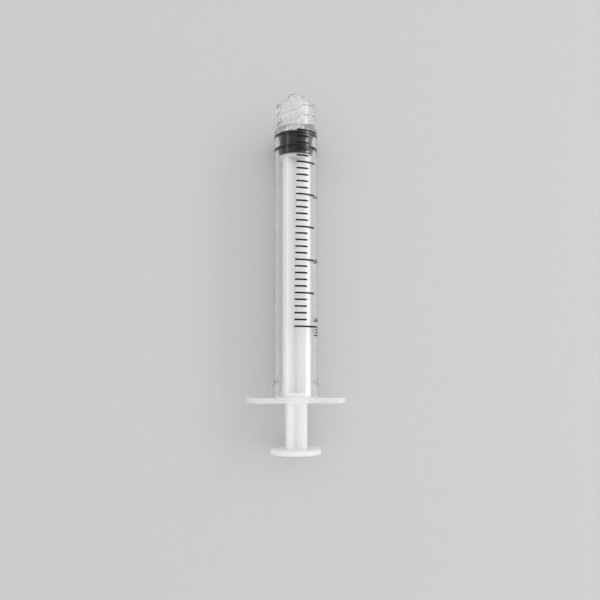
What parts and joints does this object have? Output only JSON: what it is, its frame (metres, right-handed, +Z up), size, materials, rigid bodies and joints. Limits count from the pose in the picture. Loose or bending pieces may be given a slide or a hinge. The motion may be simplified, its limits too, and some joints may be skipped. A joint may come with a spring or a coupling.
{
  "type": "luer lock syringe",
  "caption": "Clear disposable syringe with a printed volume scale, black rubber stopper, cross-ribbed plunger rod, finger wings and a threaded lock collar round its tip.",
  "frame": {"origin": "centre of the luer tip's end face", "axes": "+Y along the syringe's axis, out of the tip; +Z up, square to the finger wings' broad way; X along the wings"},
  "size_m": [0.0242, 0.0891, 0.0122],
  "materials": {
    "clear_polypropylene": "clear, slightly hazy moulded polypropylene",
    "milky_polypropylene": "translucent white moulded polypropylene",
    "black_rubber": "smooth, lightly oiled by silicone",
    "black_ink": "screen-printed black ink"
  },
  "bodies": {
    "barrel": {"barrel": "clear_polypropylene", "printed_scale": "black_ink"},
    "stopper": {"stopper": "black_rubber"},
    "plunger": {"plunger_rod": "milky_polypropylene"}
  },
  "joints": [
    {"name": "plunger_slide", "type": "slide", "parent": "barrel", "child": "stopper", "axis": [0, -1, 0], "range_m": [0, 0.0568]},
    {"name": "rod_turn", "type": "hinge", "parent": "stopper", "child": "plunger", "pos_m": [0, -0.0138, 0], "axis": [0, 1, 0], "continuous": true}
  ]
}
